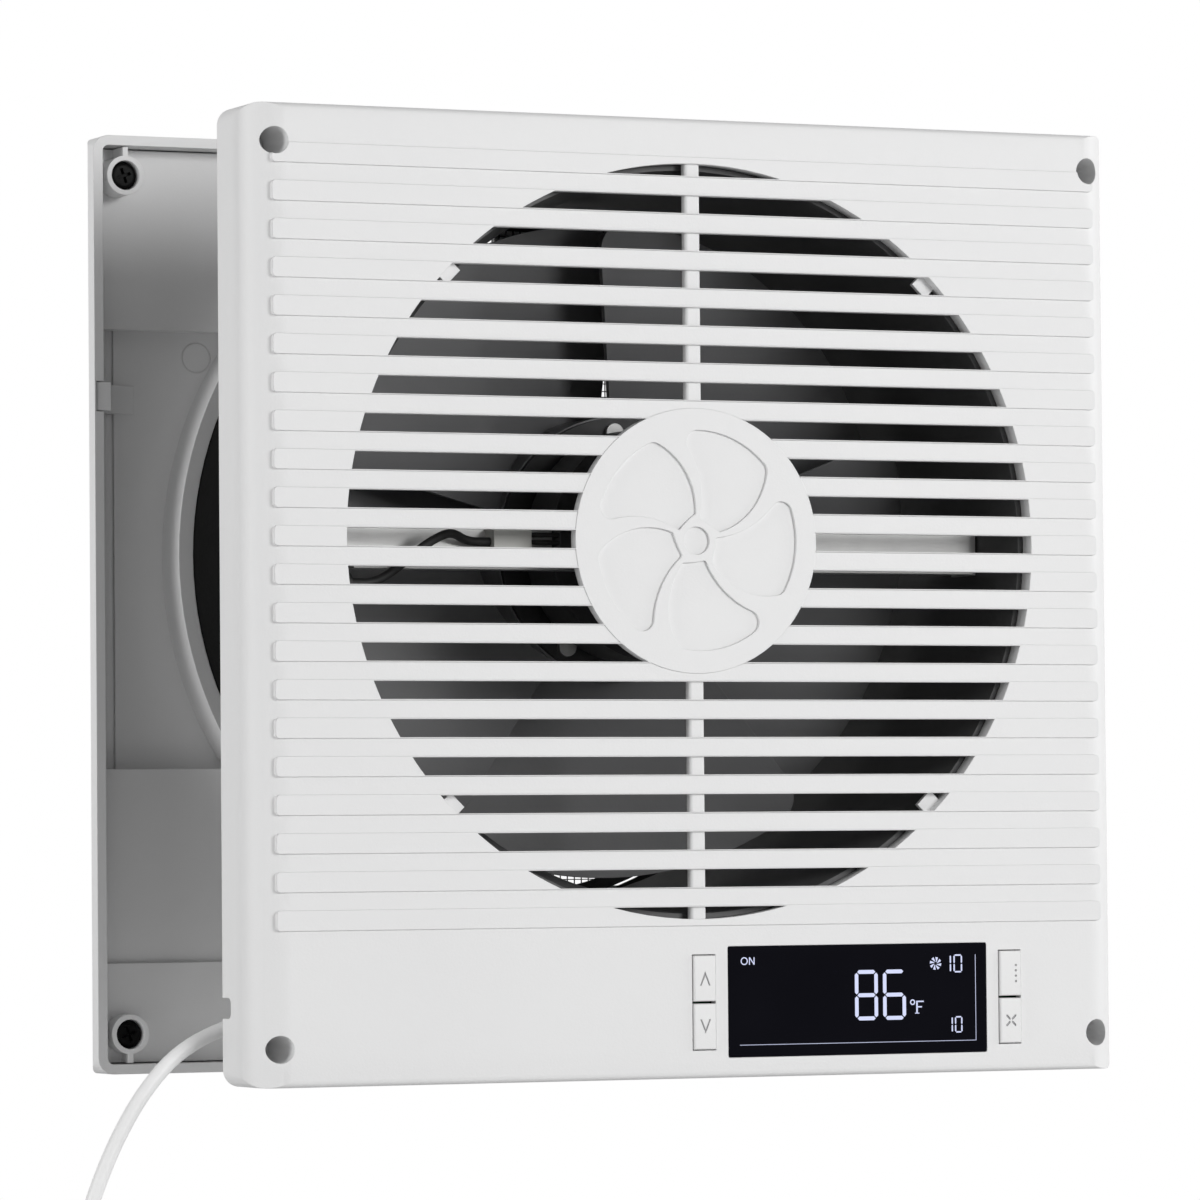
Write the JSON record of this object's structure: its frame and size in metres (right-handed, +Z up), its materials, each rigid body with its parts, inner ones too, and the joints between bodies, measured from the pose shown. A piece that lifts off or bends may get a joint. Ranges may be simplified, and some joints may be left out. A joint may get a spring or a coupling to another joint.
{
  "type": "room to room fan",
  "caption": "Square through-wall fan with slotted round grilles, a telescoping sleeve, a display with push buttons and a mains cord.",
  "frame": {"origin": "centre of the front unit's four wall screw holes, on the plane of its rim against the near wall face", "axes": "+Z up, -Y out of the wall into the near room, +X to the right for someone who faces the display"},
  "size_m": [0.3433, 0.1454, 0.4232],
  "materials": {
    "white_shell": "satin",
    "white_button": "satin",
    "black_sleeve": "satin",
    "black_screen": "matte",
    "display_black": "gloss",
    "lcd_dark": "gloss",
    "board_green": "satin",
    "switch_black": "satin",
    "parts_grey": "satin",
    "ribbon_grey": "satin",
    "zinc_screw": "satin",
    "black_screw": "satin",
    "zinc_steel": "satin",
    "motor_black": "satin",
    "bearing_steel": "polished",
    "stator_iron": "matte",
    "rotor_iron": "matte",
    "shaft_steel": "polished",
    "hub_steel": "satin",
    "black_blade": "satin",
    "black_cable": "satin",
    "nylon_white": "satin",
    "black_rubber": "matte",
    "white_soft": "satin",
    "wire_white": "satin",
    "white_cord": "satin",
    "black_tie": "satin",
    "blade_brass": "polished"
  },
  "bodies": {
    "front_unit": {"front_cover": "white_shell", "front_frame": "white_shell", "front_sleeve": "black_sleeve", "display_lens": "display_black", "lcd_panel": "lcd_dark", "control_board": "board_green", "power_board": "board_green", "tact_switches": "switch_black", "power_parts": "parts_grey", "board_link": "ribbon_grey", "board_screws": "zinc_screw", "frame_screws": "zinc_screw", "bracket_screws": "zinc_screw", "motor_screws": "zinc_screw", "motor_bracket": "zinc_steel", "motor_housing": "motor_black", "motor_end_cap": "motor_black", "motor_bearings": "bearing_steel", "motor_stator": "stator_iron", "motor_cable": "black_cable", "motor_leads": "black_cable", "cable_connector": "nylon_white", "cable_grommet": "black_rubber", "cord_gland": "white_soft", "mains_wires": "wire_white", "cord_lead": "white_cord", "cord_coil": "white_cord", "cord_tie": "black_tie", "plug_body": "white_soft", "plug_blades": "blade_brass"},
    "impeller_body": {"impeller": "black_blade", "hub_plate": "hub_steel", "hub_screws": "zinc_screw", "motor_shaft": "shaft_steel", "motor_rotor": "rotor_iron", "shaft_nut": "zinc_screw"},
    "rear_unit": {"rear_cover": "white_shell", "rear_frame": "white_shell", "rear_sleeve": "black_sleeve", "rear_screws": "black_screw", "rear_screen": "black_screen"},
    "button_up_body": {"button_up": "white_button"},
    "button_down_body": {"button_down": "white_button"},
    "button_mode_body": {"button_mode": "white_button"},
    "button_speed_body": {"button_speed": "white_button"}
  },
  "joints": [
    {"name": "impeller_spin", "type": "hinge", "parent": "front_unit", "child": "impeller_body", "pos_m": [0, 0.03, 0.0166], "axis": [0, 1, 0], "continuous": true},
    {"name": "button_up_push", "type": "slide", "parent": "front_unit", "child": "button_up_body", "axis": [0, 1, 0], "range_m": [0, 0.0008], "stiffness_N_per_m": 300, "springref_m": -0.002},
    {"name": "button_down_push", "type": "slide", "parent": "front_unit", "child": "button_down_body", "axis": [0, 1, 0], "range_m": [0, 0.0008], "stiffness_N_per_m": 300, "springref_m": -0.002},
    {"name": "button_mode_push", "type": "slide", "parent": "front_unit", "child": "button_mode_body", "axis": [0, 1, 0], "range_m": [0, 0.0008], "stiffness_N_per_m": 300, "springref_m": -0.002},
    {"name": "button_speed_push", "type": "slide", "parent": "front_unit", "child": "button_speed_body", "axis": [0, 1, 0], "range_m": [0, 0.0008], "stiffness_N_per_m": 300, "springref_m": -0.002},
    {"name": "sleeve_slide", "type": "slide", "parent": "front_unit", "child": "rear_unit", "axis": [0, 1, 0], "range_m": [-0.022, 0.045]}
  ]
}
